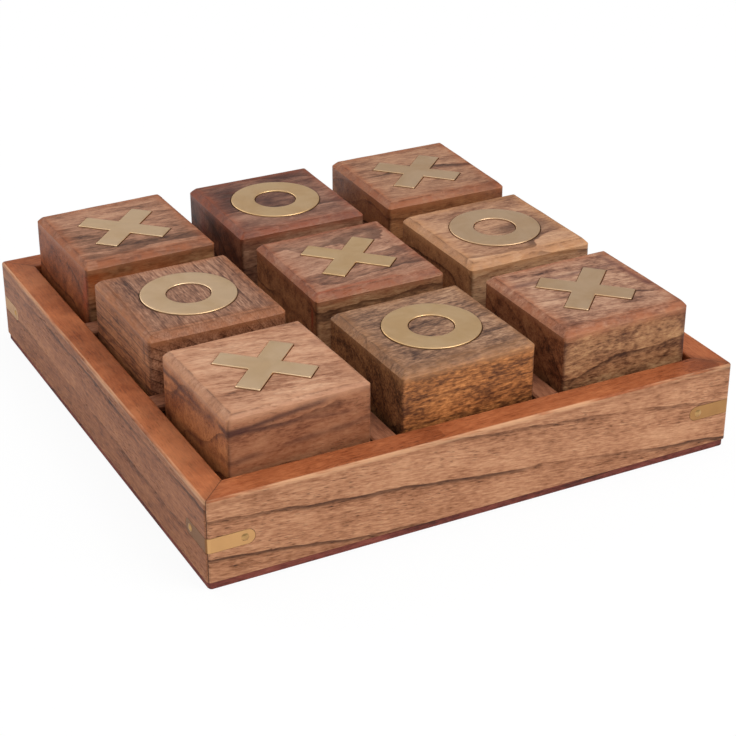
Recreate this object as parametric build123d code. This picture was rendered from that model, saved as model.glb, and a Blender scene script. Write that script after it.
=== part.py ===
from build123d import *
import math
import os

# A wooden tic-tac-toe board: a square tray with mitred rails, a base panel and a lattice of
# four half-lapped dividers, and nine wooden cubes that stand loose in its cells. Five cubes
# hold a brass cross and four a brass ring. All lengths are in millimetres.
# The origin is at the middle of the tray's underside, +Z is up and -Y is the front.

# Cubes
BLOCK_SIDE = 50.8
BLOCK_HEIGHT = 50.8
BLOCK_CHAMFER = 1.8
BLOCK_CORNER_ROUND = 1.2
REST_GAP = 0.1

# Lattice
CELLS_IN_ROW = 3
CELL_PLAY = 1.6
PLAY_USED = 0.8
DIVIDER_THICK = 8.5
DIVIDER_DROP = 0.5
DIVIDER_EASE = 0.6
LAP_GAP = 0.1

# Rails and base
RAIL_THICK = 10.5
RAIL_HEIGHT = 30.0
RAIL_EASE = 0.8
CORNER_ROUND = 1.5
BASE_THICK = 3.0
BASE_INSET = 0.5
BASE_EASE = 0.4

# Housings in the rails for the dividers' ends
HOUSING_DEPTH = 3.0
HOUSING_STOP = 6.0
HOUSING_GAP = 0.1

# Brass corner straps, let in flush
STRAP_WIDTH = 5.3
STRAP_THICK = 1.0
STRAP_LEG = 16.7
STRAP_RISE = 16.6
STRAP_END_FLAT = 0.106
STRAP_GAP = 0.15

# Brass pins through the straps
PIN_SETBACK = 13.2
PIN_HEAD_RADIUS = 1.4
PIN_DOME = 0.45
PIN_SHANK_RADIUS = 0.7
PIN_LENGTH = 7.0
PIN_POINT = 1.2
PIN_TIP_RADIUS = 0.18
PIN_GAP = 0.03

# Steel panel pins that hold the base, driven up from below
PANEL_PIN_SETBACK = 30.0
PANEL_PINS_PER_SIDE = 3
PANEL_PIN_HEAD_RADIUS = 1.0
PANEL_PIN_HEAD_DEPTH = 0.8
PANEL_PIN_SHANK_RADIUS = 0.6
PANEL_PIN_LENGTH = 12.0
PANEL_PIN_SINK = 0.1

# Brass inlays, standing a little proud of the cubes' tops
INLAY_THICK = 2.5
INLAY_PROUD = 0.35
INLAY_EASE = 0.2
INLAY_GAP = 0.25
CROSS_REACH = 34.0
CROSS_ARM = 8.4
CROSS_TURN = 45.0
RING_OUTER = 34.2
RING_INNER = 16.0

# How far a cutter runs past the face that it opens, and the least rounding of a corner
CUT_PAST = 2.0
LEAST_ROUND = 0.3

# How each loose cube lies in its cell, from the back row to the front row: the share of the
# free play that it has moved to the right and to the back, and its turn in degrees.
CUBES = {
    "back_left": ("cross", 0.7, 0.8, 1.0),
    "back_middle": ("ring", 0.0, -0.7, -0.5),
    "back_right": ("cross", -0.1, -0.9, -0.6),
    "middle_left": ("ring", -0.2, -0.9, 0.3),
    "centre": ("cross", 0.9, 0.9, -0.3),
    "middle_right": ("ring", -0.8, -0.9, 1.0),
    "front_left": ("cross", 0.9, 0.0, 1.1),
    "front_middle": ("ring", 0.3, 0.1, 1.1),
    "front_right": ("cross", 0.2, 0.9, 1.0),
}

# Worked out from the sizes above
cell = BLOCK_SIDE + 2 * CELL_PLAY
pitch = cell + DIVIDER_THICK
inner_side = CELLS_IN_ROW * cell + (CELLS_IN_ROW - 1) * DIVIDER_THICK
tray_side = inner_side + 2 * RAIL_THICK
tray_height = BASE_THICK + RAIL_HEIGHT
divider_height = RAIL_HEIGHT - DIVIDER_DROP
divider_reach = inner_side / 2
strap_height = min(STRAP_RISE, tray_height - STRAP_WIDTH)
strap_cut = 2 * (STRAP_THICK + CUT_PAST)
pocket_depth = INLAY_THICK - INLAY_PROUD
block_top = BASE_THICK + REST_GAP + BLOCK_HEIGHT
CENTRE = (Align.CENTER, Align.CENTER, Align.CENTER)
STANDING = (Align.CENTER, Align.CENTER, Align.MIN)


def turned(shape, quarter_turns):
    """Return a copy of the shape turned about the tray's upright axis."""
    return shape.rotate(Axis.Z, 90 * quarter_turns)


def rounded_prism(side, radius, height, low):
    """Return a square prism with rounded upright edges that stands at the height low."""
    outline = RectangleRounded(side, side, radius)
    return Pos(0, 0, low) * extrude(outline, height)


def leg_outline(grow):
    """Return the bar that gives the front leg of the front left strap its rounded outline."""
    half = tray_side / 2
    width = STRAP_WIDTH + 2 * grow
    length = STRAP_LEG + grow + CUT_PAST
    bar = Box(length, strap_cut, width, align=(Align.MIN, Align.CENTER, Align.CENTER))
    end_edges = bar.edges().filter_by(Axis.Y).group_by(Axis.X)[-1]
    round_end = fillet(end_edges, (width - STRAP_END_FLAT) / 2)
    return Pos(-half - CUT_PAST, -half, strap_height) * round_end


def strap_blank(grow):
    """Return both legs of the front left strap as one solid, before it is cut to its thickness."""
    front = leg_outline(grow)
    # The left leg is the front leg mirrored across the corner's diagonal.
    diagonal = Plane(origin=(0, 0, 0), x_dir=(0, 0, 1), z_dir=(1, -1, 0))
    left = mirror(front, diagonal)
    return front + left


def inner_limit():
    """Return the prism inside the straps: the tray's outline less the strap's thickness."""
    inside = tray_side - 2 * STRAP_THICK
    radius = max(CORNER_ROUND - STRAP_THICK, LEAST_ROUND)
    return rounded_prism(inside, radius, tray_height, 0)


def corner_strap(quarter_turns):
    """Return one L-shaped strap with a hole in each leg for its pin."""
    outer = rounded_prism(tray_side, CORNER_ROUND, tray_height, 0)
    strap = (strap_blank(0) & outer) - inner_limit()
    hole = Cylinder(PIN_SHANK_RADIUS + PIN_GAP, strap_cut, align=CENTRE)
    for place in strap_pin_places():
        strap -= place * hole
    return turned(strap, quarter_turns)


def strap_groove():
    """Return the cutter for the front left strap's seat, with its clearance at the edges."""
    return strap_blank(STRAP_GAP) - inner_limit()


def strap_pin_places():
    """Return the places of the front left corner's two pins, on the faces, Z pointing out."""
    half = tray_side / 2
    along = -half + PIN_SETBACK
    front = Location((along, -half, strap_height), (90, 0, 0))
    left = Location((-half, along, strap_height), (0, -90, 0))
    return [front, left]


def strap_pin():
    """Return one domed pin whose head sits on the face at its origin, its shank along -Z."""
    ball = (PIN_HEAD_RADIUS**2 + PIN_DOME**2) / (2 * PIN_DOME)
    half_angle = math.asin(PIN_HEAD_RADIUS / ball) / 2
    middle = (ball * math.sin(half_angle), PIN_DOME - ball + ball * math.cos(half_angle))
    outline = Polyline(
        (0, PIN_DOME),
        (0, -PIN_LENGTH),
        (PIN_TIP_RADIUS, -PIN_LENGTH),
        (PIN_SHANK_RADIUS, PIN_POINT - PIN_LENGTH),
        (PIN_SHANK_RADIUS, 0),
        (PIN_HEAD_RADIUS, 0),
    )
    dome = ThreePointArc((PIN_HEAD_RADIUS, 0), middle, (0, PIN_DOME))
    return revolve(Plane.XZ * make_face([outline, dome]), Axis.Z)


def pin_bore():
    """Return the cutter for the hole that a strap pin's shank fills."""
    return Cylinder(PIN_SHANK_RADIUS + PIN_GAP, PIN_LENGTH + PIN_GAP,
                    align=(Align.CENTER, Align.CENTER, Align.MAX))


def strap_pins():
    """Return all the strap pins, each a solid of its own."""
    pins = []
    for quarter_turns in range(4):
        for place in strap_pin_places():
            pins.append(turned(place * strap_pin(), quarter_turns))
    return Compound(children=pins)


def panel_pin_places():
    """Return the points of one side's panel pins, along the front rail's middle line."""
    line = -tray_side / 2 + RAIL_THICK / 2
    reach = tray_side / 2 - PANEL_PIN_SETBACK
    step = 2 * reach / max(PANEL_PINS_PER_SIDE - 1, 1)
    return [(-reach + index * step, line) for index in range(PANEL_PINS_PER_SIDE)]


def panel_pin(extra, sink):
    """Return one panel pin or, with extra clearance, the hole that it fills."""
    head = Pos(0, 0, sink) * Cone(PANEL_PIN_HEAD_RADIUS + extra, PANEL_PIN_SHANK_RADIUS + extra,
                                  PANEL_PIN_HEAD_DEPTH, align=STANDING)
    shank = Cylinder(PANEL_PIN_SHANK_RADIUS + extra, PANEL_PIN_LENGTH + extra, align=STANDING)
    return head + Pos(0, 0, sink + PANEL_PIN_HEAD_DEPTH / 2) * shank


def panel_pin_bore():
    """Return the hole for a panel pin, open at the panel's underside."""
    mouth = Cylinder(PANEL_PIN_HEAD_RADIUS + PIN_GAP, 2 * PANEL_PIN_SINK, align=CENTRE)
    return panel_pin(PIN_GAP, PANEL_PIN_SINK) + mouth


def panel_pins():
    """Return all the panel pins, each a solid of its own."""
    pins = []
    for quarter_turns in range(4):
        for x, y in panel_pin_places():
            pins.append(turned(Pos(x, y, 0) * panel_pin(0, PANEL_PIN_SINK), quarter_turns))
    return Compound(children=pins)


def divider_blank(grow):
    """Return the front divider without its laps: a board whose lower ends enter the rails."""
    wide = Box(2 * divider_reach, DIVIDER_THICK, divider_height, align=STANDING)
    if grow == 0:
        long_edges = wide.edges().filter_by(Axis.X).group_by(Axis.Z)[-1]
        wide = chamfer(long_edges, DIVIDER_EASE)
    tongue_height = RAIL_HEIGHT - HOUSING_STOP + grow
    tongue_length = 2 * (divider_reach + HOUSING_DEPTH + grow)
    tongue = Box(tongue_length, DIVIDER_THICK + 2 * grow, tongue_height, align=STANDING)
    return Pos(0, 0, BASE_THICK) * (wide + tongue)


def housings():
    """Return the cutter for the two housings in the front rail."""
    board = divider_blank(HOUSING_GAP)
    across = turned(board, 1)
    behind_rail = Box(tray_side, tray_side, 2 * (tray_height + CUT_PAST), align=CENTRE)
    ends = across - Pos(0, RAIL_THICK, 0) * behind_rail
    return Pos(-pitch / 2, 0, 0) * ends + Pos(pitch / 2, 0, 0) * ends


def divider(name):
    """Return one of the four dividers, half-lapped where it crosses the other two."""
    long_way = name in ("divider_front", "divider_back")
    board = divider_blank(0)
    lap = divider_height / 2 + LAP_GAP
    notch = Box(DIVIDER_THICK + 2 * LAP_GAP, 2 * DIVIDER_THICK, lap, align=STANDING)
    low = BASE_THICK + divider_height - lap if long_way else BASE_THICK
    for side in (-1, 1):
        board -= Pos(side * pitch / 2, 0, low) * notch
    if long_way:
        shift = -pitch / 2 if name == "divider_front" else pitch / 2
        return Pos(0, shift, 0) * board
    shift = -pitch / 2 if name == "divider_left" else pitch / 2
    return Pos(shift, 0, 0) * turned(board, 1)


def front_rail():
    """Return the front rail: mitred ends, eased edges, housings, strap seats and pin holes."""
    outer = rounded_prism(tray_side, CORNER_ROUND, RAIL_HEIGHT, BASE_THICK)
    hollow = Pos(0, 0, BASE_THICK) * Box(inner_side, inner_side, RAIL_HEIGHT, align=STANDING)
    ring = outer - hollow
    ring = fillet(ring.faces().sort_by(Axis.Z)[-1].edges(), RAIL_EASE)
    past = tray_side / 2 + CUT_PAST
    wedge = make_face(Polyline((0, 0), (-past, -past), (past, -past), (0, 0)))
    rail = ring & extrude(wedge, tray_height + CUT_PAST)
    rail -= housings()
    groove = strap_groove()
    rail -= groove
    rail -= turned(groove, 1)
    near_pin, round_corner_pin = strap_pin_places()
    rail -= near_pin * pin_bore()
    rail -= turned(round_corner_pin * pin_bore(), 1)
    for x, y in panel_pin_places():
        rail -= Pos(x, y, 0) * panel_pin_bore()
    return rail


def base_panel():
    """Return the panel under the rails, set in a little from their outer faces."""
    side = tray_side - 2 * BASE_INSET
    panel = rounded_prism(side, CORNER_ROUND, BASE_THICK, 0)
    panel = chamfer(panel.faces().sort_by(Axis.Z)[0].edges(), BASE_EASE)
    for quarter_turns in range(4):
        for x, y in panel_pin_places():
            panel -= turned(Pos(x, y, 0) * panel_pin_bore(), quarter_turns)
    return panel


def cross_outline(grow):
    """Return the flat cross: two square-ended bars at right angles on the cube's diagonals."""
    bar = Rectangle(CROSS_REACH + 2 * grow, CROSS_ARM + 2 * grow)
    return bar.rotate(Axis.Z, CROSS_TURN) + bar.rotate(Axis.Z, -CROSS_TURN)


def ring_outline(grow):
    """Return the flat ring."""
    return Circle(RING_OUTER / 2 + grow) - Circle(RING_INNER / 2 - grow)


def inlay(figure):
    """Return the brass figure, lying with its underside at its origin's height."""
    outline = cross_outline(0) if figure == "cross" else ring_outline(0)
    plate = extrude(outline, INLAY_THICK)
    return chamfer(plate.faces().sort_by(Axis.Z)[-1].edges(), INLAY_EASE)


def block(figure):
    """Return a wooden cube, standing on its origin, with the pocket for its figure."""
    cube = Box(BLOCK_SIDE, BLOCK_SIDE, BLOCK_HEIGHT, align=STANDING)
    level_faces = cube.faces().sort_by(Axis.Z)
    cube = chamfer(level_faces[-1].edges() + level_faces[0].edges(), BLOCK_CHAMFER)
    cube &= rounded_prism(BLOCK_SIDE, BLOCK_CORNER_ROUND, BLOCK_HEIGHT, 0)
    outline = cross_outline(INLAY_GAP) if figure == "cross" else ring_outline(INLAY_GAP)
    pocket = extrude(outline, pocket_depth + CUT_PAST)
    return cube - Pos(0, 0, BLOCK_HEIGHT - pocket_depth) * pocket


def resting_place(index, share_x, share_y, turn):
    """Return the place where a cube stands in its cell: within the play that its turn leaves."""
    angle = math.radians(abs(turn))
    swing = BLOCK_SIDE / 2 * (math.cos(angle) + math.sin(angle) - 1)
    free = PLAY_USED * (CELL_PLAY - swing)
    row, column = divmod(index, CELLS_IN_ROW)
    x = (column - 1) * pitch + share_x * free
    y = (1 - row) * pitch + share_y * free
    return Location((x, y, BASE_THICK + REST_GAP), (0, 0, turn))


def build():
    """Return every piece under its node name."""
    pieces = {"base_panel": base_panel()}
    rail = front_rail()
    for quarter_turns, side in enumerate(("front", "right", "back", "left")):
        pieces["rail_" + side] = turned(rail, quarter_turns)
    for side in ("front", "back", "left", "right"):
        pieces["divider_" + side] = divider("divider_" + side)
    corners = ("front_left", "front_right", "back_right", "back_left")
    for quarter_turns, corner in enumerate(corners):
        pieces["strap_" + corner] = corner_strap(quarter_turns)
    pieces["strap_pins"] = strap_pins()
    pieces["panel_pins"] = panel_pins()
    for index, (cube_name, lie) in enumerate(CUBES.items()):
        figure, share_x, share_y, turn = lie
        place = resting_place(index, share_x, share_y, turn)
        pieces["block_" + cube_name] = place * block(figure)
        seat = place * Pos(0, 0, BLOCK_HEIGHT - pocket_depth)
        pieces[figure + "_" + cube_name] = seat * inlay(figure)
    return pieces


def main():
    """Build the pieces and write each one to its own file."""
    os.makedirs("parts", exist_ok=True)
    for name, shape in build().items():
        export_step(shape, "parts/" + name + ".step")
        print(name, "solids", len(shape.solids()), "volume", round(shape.volume, 1))
    print("tray side", tray_side, "height", tray_height, "cubes' top", block_top)


main()
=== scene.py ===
import logging
import math
from dataclasses import dataclass, field, replace
from enum import Enum
from typing import Callable, Optional, Sequence, Union

import bpy
import numpy as np
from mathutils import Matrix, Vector


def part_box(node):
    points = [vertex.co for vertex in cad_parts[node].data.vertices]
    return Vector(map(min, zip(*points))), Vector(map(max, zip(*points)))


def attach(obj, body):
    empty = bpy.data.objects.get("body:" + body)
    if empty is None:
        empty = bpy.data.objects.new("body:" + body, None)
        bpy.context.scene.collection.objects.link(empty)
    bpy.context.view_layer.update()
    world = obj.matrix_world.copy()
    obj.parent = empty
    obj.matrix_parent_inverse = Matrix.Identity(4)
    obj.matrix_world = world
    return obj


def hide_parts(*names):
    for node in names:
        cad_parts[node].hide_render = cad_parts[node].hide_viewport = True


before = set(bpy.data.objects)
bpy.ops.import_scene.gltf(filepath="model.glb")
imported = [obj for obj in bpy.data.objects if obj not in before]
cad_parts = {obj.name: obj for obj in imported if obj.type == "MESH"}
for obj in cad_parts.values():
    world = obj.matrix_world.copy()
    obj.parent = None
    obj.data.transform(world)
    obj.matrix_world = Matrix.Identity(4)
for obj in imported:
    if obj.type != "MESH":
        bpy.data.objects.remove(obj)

log = logging.getLogger("tic_tac_toe_board")

MM = 0.001
Colour = tuple[float, float, float]
Point = tuple[float, float, float]
Span = tuple[float, float]
NOISE_MEAN = 0.5


def srgb(red: int, green: int, blue: int) -> Colour:
    """Return a display colour, given from 0 to 255, in the linear units that shaders use."""
    def linear(level: int) -> float:
        """Return one channel in linear units."""
        share = level / 255.0
        return share / 12.92 if share <= 0.04045 else ((share + 0.055) / 1.055) ** 2.4
    return linear(red), linear(green), linear(blue)


VEIN = srgb(58, 34, 24)


class GrainWay(Enum):
    """The way that a board's grain runs, as the turn that brings it onto the X axis."""

    ALONG_X = (0.0, 0.0, 0.0)
    ALONG_Y = (0.0, 0.0, -90.0)


class Figure(Enum):
    """The brass figure in a cube's top."""

    CROSS = "cross"
    RING = "ring"


class Value:
    """A number socket that takes part in Python arithmetic and adds its Math nodes."""

    def __init__(self, board: "ShaderBoard", socket: bpy.types.NodeSocket) -> None:
        """Keep the socket and the board that its nodes go on."""
        self.board = board
        self.socket = socket

    def _math(self, operation: str, *operands: "Number", clamp: bool = False) -> "Value":
        """Return the result of a Math node on the operands.

        Args:
            operation: the node's operation.
            operands: numbers or values, in the node's order.
            clamp: keeps the result from 0 to 1.

        Returns:
            The node's output.
        """
        settings = {"operation": operation, "use_clamp": clamp}
        return self.board.value("ShaderNodeMath", settings, dict(enumerate(operands)))

    def __add__(self, other: "Number") -> "Value":
        """Return the sum."""
        return self._math("ADD", self, other)

    def __radd__(self, other: "Number") -> "Value":
        """Return the sum, reflected."""
        return self._math("ADD", other, self)

    def __sub__(self, other: "Number") -> "Value":
        """Return the difference."""
        return self._math("SUBTRACT", self, other)

    def __rsub__(self, other: "Number") -> "Value":
        """Return the difference, reflected."""
        return self._math("SUBTRACT", other, self)

    def __mul__(self, other: "Number") -> "Value":
        """Return the product."""
        return self._math("MULTIPLY", self, other)

    def __rmul__(self, other: "Number") -> "Value":
        """Return the product, reflected."""
        return self._math("MULTIPLY", other, self)

    def __truediv__(self, other: "Number") -> "Value":
        """Return the quotient."""
        return self._math("DIVIDE", self, other)

    def __pow__(self, other: "Number") -> "Value":
        """Return the power."""
        return self._math("POWER", self, other)

    def root(self) -> "Value":
        """Return the square root."""
        return self._math("SQRT", self)

    def fraction(self) -> "Value":
        """Return what is left above the whole number."""
        return self._math("FRACT", self)

    def size(self) -> "Value":
        """Return the value without its sign."""
        return self._math("ABSOLUTE", self)

    def larger(self, other: "Number") -> "Value":
        """Return the larger of two values."""
        return self._math("MAXIMUM", self, other)

    def held(self) -> "Value":
        """Return the value held between 0 and 1."""
        return self._math("ADD", self, 0.0, clamp=True)

    def sway(self, amount: float) -> "Value":
        """Return a noise's value about its mean, made larger or smaller by an amount."""
        return (self - NOISE_MEAN) * amount

    def step(self, low: float, high: float) -> "Value":
        """Return a smooth step that is 0 at low and 1 at high.

        Args:
            low: where the step starts.
            high: where it ends; it may be less than low.

        Returns:
            The step's value.
        """
        settings = {"interpolation_type": "SMOOTHSTEP"}
        inputs = {"Value": self, "From Min": low, "From Max": high, "To Min": 0.0, "To Max": 1.0}
        return self.board.value("ShaderNodeMapRange", settings, inputs)

    def step_below(self, edge: float, span: Span) -> "Value":
        """Return a smooth step whose two ends lie below an edge by a span."""
        return self.step(edge - span[0], edge - span[1])


Number = Union[float, Value]
Link = Union[float, Colour, Value, bpy.types.NodeSocket]


class ShaderBoard:
    """The node tree of one material or world, filled through one method for any node."""

    def __init__(self, tree: bpy.types.NodeTree) -> None:
        """Start with an empty tree."""
        self.tree = tree
        tree.nodes.clear()

    def node(self, kind: str, settings: Optional[dict] = None,
             inputs: Optional[dict] = None) -> bpy.types.Node:
        """Add a node.

        Args:
            kind: the node's type name.
            settings: its own properties, set before its sockets; a ramp's stops come under "stops".
            inputs: values or links by socket name or place.

        Returns:
            The new node.
        """
        made = self.tree.nodes.new(kind)
        for name, value in (settings or {}).items():
            if name == "stops":
                self._set_stops(made.color_ramp, value)
            else:
                setattr(made, name, value)
        for name, value in (inputs or {}).items():
            self._feed(made.inputs[name], value)
        return made

    def value(self, kind: str, settings: Optional[dict] = None, inputs: Optional[dict] = None,
              output: Union[int, str] = 0) -> Value:
        """Add a node and return one output as a value for arithmetic."""
        return Value(self, self.node(kind, settings, inputs).outputs[output])

    def _set_stops(self, ramp: bpy.types.ColorRamp, stops: Sequence[tuple[float, Colour]]) -> None:
        """Give a colour ramp its stops."""
        while len(ramp.elements) < len(stops):
            ramp.elements.new(1.0)
        for element, (place, colour) in zip(ramp.elements, stops):
            element.position = place
            element.color = (*colour, 1.0)

    def _feed(self, socket: bpy.types.NodeSocket, value: Link) -> None:
        """Link or set one input."""
        if isinstance(value, Value):
            self.tree.links.new(value.socket, socket)
        elif isinstance(value, bpy.types.NodeSocket):
            self.tree.links.new(value, socket)
        elif isinstance(value, tuple) and socket.type == "RGBA":
            socket.default_value = (*value, 1.0)
        else:
            socket.default_value = value

    def mix(self, share: Link, first: Link, second: Link, way: str = "MIX") -> bpy.types.NodeSocket:
        """Mix two colours.

        Args:
            share: how much of the second colour.
            first: a colour or a link.
            second: a colour or a link.
            way: the Mix node's blend type.

        Returns:
            The mixed colour's socket.
        """
        settings = {"data_type": "RGBA", "blend_type": way, "clamp_factor": True}
        made = self.node("ShaderNodeMix", settings, {0: share, 6: first, 7: second})
        return made.outputs[2]

    def vector(self, operation: str, first: Link, second: Link) -> bpy.types.NodeSocket:
        """Return the result of a Vector Math node on two places."""
        made = self.node("ShaderNodeVectorMath", {"operation": operation}, {0: first, 1: second})
        return made.outputs[0]

    def place(self) -> bpy.types.NodeSocket:
        """Return the object's own coordinates."""
        return self.node("ShaderNodeTexCoord").outputs["Object"]

    def parts(self, place: Link) -> tuple[Value, ...]:
        """Return a place's three coordinates as values."""
        made = self.node("ShaderNodeSeparateXYZ", {}, {0: place})
        return tuple(Value(self, output) for output in made.outputs)

    def turned(self, place: Link, turn: Point) -> bpy.types.NodeSocket:
        """Return a place turned about the three axes, in radians."""
        inputs = {"Vector": place, "Rotation": turn}
        return self.node("ShaderNodeMapping", {"vector_type": "POINT"}, inputs).outputs[0]

    def noise(self, place: Link, scale: float, detail: float = 3.0, rough: float = 0.6,
              distort: float = 0.0) -> Value:
        """Return a noise texture's value at a place."""
        inputs = {"Vector": place, "Scale": scale, "Detail": detail, "Roughness": rough,
                  "Distortion": distort}
        return self.value("ShaderNodeTexNoise", {"noise_dimensions": "3D"}, inputs, "Fac")

    def scaled(self, place: Link, scale: Point, shift: Point = (0.0, 0.0, 0.0)) -> bpy.types.NodeSocket:
        """Return a place stretched by a scale for each axis, after a shift."""
        return self.vector("MULTIPLY", self.vector("ADD", place, shift), scale)

    def attribute(self, name: str) -> Value:
        """Return a mesh attribute's value."""
        return self.value("ShaderNodeAttribute", {"attribute_name": name}, None, "Fac")

    def seen(self) -> Value:
        """Return one for the camera's own rays and nothing for all others."""
        return self.value("ShaderNodeLightPath", output="Is Camera Ray")

    def bump(self, strength: float, depth: float, height: Value) -> bpy.types.NodeSocket:
        """Return the surface's direction, pushed about by a height."""
        inputs = {"Strength": strength, "Distance": depth, "Height": height}
        return self.node("ShaderNodeBump", {}, inputs).outputs[0]

    def surface(self, inputs: dict) -> None:
        """Close a material's tree with a Principled shader that has these inputs."""
        shader = self.node("ShaderNodeBsdfPrincipled", {}, inputs)
        self.node("ShaderNodeOutputMaterial", {}, {"Surface": shader.outputs[0]})


def new_material(name: str) -> tuple[bpy.types.Material, ShaderBoard]:
    """Return a new material and the board that its nodes go on."""
    made = bpy.data.materials.new(name)
    made.use_nodes = True
    return made, ShaderBoard(made.node_tree)


@dataclass(frozen=True)
class GrainNoise:
    """A noise that is stretched along the grain, in waves to the metre along and across it."""

    along: float
    across: float
    detail: float
    rough: float = 0.6

    def value(self, board: ShaderBoard, place: Link) -> Value:
        """Return the noise's value at a place whose grain runs along X."""
        stretched = board.scaled(place, (self.along, self.across, self.across))
        return board.noise(stretched, 1.0, self.detail, self.rough)


DASHES = GrainNoise(210.0, 1700.0, 3.0)
STREAKS = GrainNoise(22.0, 330.0, 4.0)
MOTTLE = GrainNoise(420.0, 1000.0, 2.0)
CLOUDS = GrainNoise(70.0, 120.0, 4.0, 0.62)
RING_WANDER = GrainNoise(7.0, 14.0, 2.0, 0.55)
RING_RIPPLE = GrainNoise(45.0, 60.0, 3.0)
LINE_FADE = GrainNoise(16.0, 40.0, 2.0, 0.5)
SEAM_WANDER = GrainNoise(40.0, 60.0, 3.0)
SEAM_FADE = GrainNoise(60.0, 140.0, 2.0, 0.5)
PORE_SPECKLE = GrainNoise(330.0, 2300.0, 1.0, 0.5)
PORE_PATCHES = GrainNoise(35.0, 110.0, 2.0, 0.5)
BRUSHING = GrainNoise(90.0, 4200.0, 2.0)


@dataclass(frozen=True)
class GrainForm:
    """The form of the growth rings, seams and pores that all the woods share.

    A ring's share runs from 0 to 1 across it, and its spans are smooth steps over that share.
    The other spans are steps over a noise. A swing is how far a noise pushes something about.
    """

    seed_way: Point = (1.0, 0.37, 0.73)
    wander_swing: float = 6.0
    late_power: float = 3.0
    line_rise: Span = (0.86, 0.965)
    line_fall: Span = (1.0, 0.985)
    line_fade: Span = (0.36, 0.6)
    zones_to_metre: float = 48.0
    zone_drift: float = 3.0
    zone_detail: float = 2.0
    seam_swing: float = 3.0 * MM
    seam_fade: Span = (0.3, 0.6)
    pore_speckle: Span = (0.58, 0.70)
    pore_patches: Span = (0.35, 0.65)


@dataclass(frozen=True)
class GrainWeights:
    """How far each feature of the grain moves the wood's tone, its roughness and its relief."""

    middle: float = 0.52
    zones: float = 2.0
    late: float = 0.3
    streaks: float = 1.3
    dashes: float = 1.15
    mottle: float = 1.5
    clouds: float = 1.6
    stops: tuple[float, ...] = (0.02, 0.24, 0.5, 0.88)
    dashes_rough: float = 0.25
    pores_rough: float = 0.2
    edge_polish: float = 0.08
    dashes_relief: float = 0.8
    streaks_relief: float = 0.4
    pores_relief: float = 0.8
    line_relief: float = 0.5
    bump: float = 0.4
    bump_depth: float = 0.3 * MM


@dataclass(frozen=True)
class MarkShares:
    """How strongly each mark on the cubes' wood shows, and the steps over noises that break it up."""

    patch_scale: float = 150.0
    patches: Span = (0.4, 0.6)
    rim_least: float = 0.5
    pale: float = 0.45
    edge: float = 0.38
    crease: float = 0.6
    corner: float = 0.6
    corner_streaks: Span = (0.3, 0.55)
    seat: float = 0.8


FORM = GrainForm()
WEIGHT = GrainWeights()
MARK_SHARE = MarkShares()


@dataclass(frozen=True)
class WoodTones:
    """The colours of one board, from its palest wood to its dark wood, its rim and its lines."""

    light: Colour
    body: Colour
    dark: Colour
    rim: Colour
    vein: Colour = VEIN


@dataclass(frozen=True)
class FaceShadeAndOil:
    """How each face is tinted. The front and left tints are painted light and shade, darkening or
    lightening those faces as their lighting would; the end tint is how far the oil has coloured the end
    grain, which shows another cut than the top does.
    """

    front: Colour = (1.0, 1.0, 1.0)
    left: Colour = (1.0, 1.0, 1.0)
    end: Colour = (0.8, 0.72, 0.66)


@dataclass(frozen=True)
class Seam:
    """A seam of other wood: a plane through the board, which wanders with the grain."""

    across: Point
    offset_mm: float
    width_mm: float
    colour: Colour
    share: float


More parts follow.
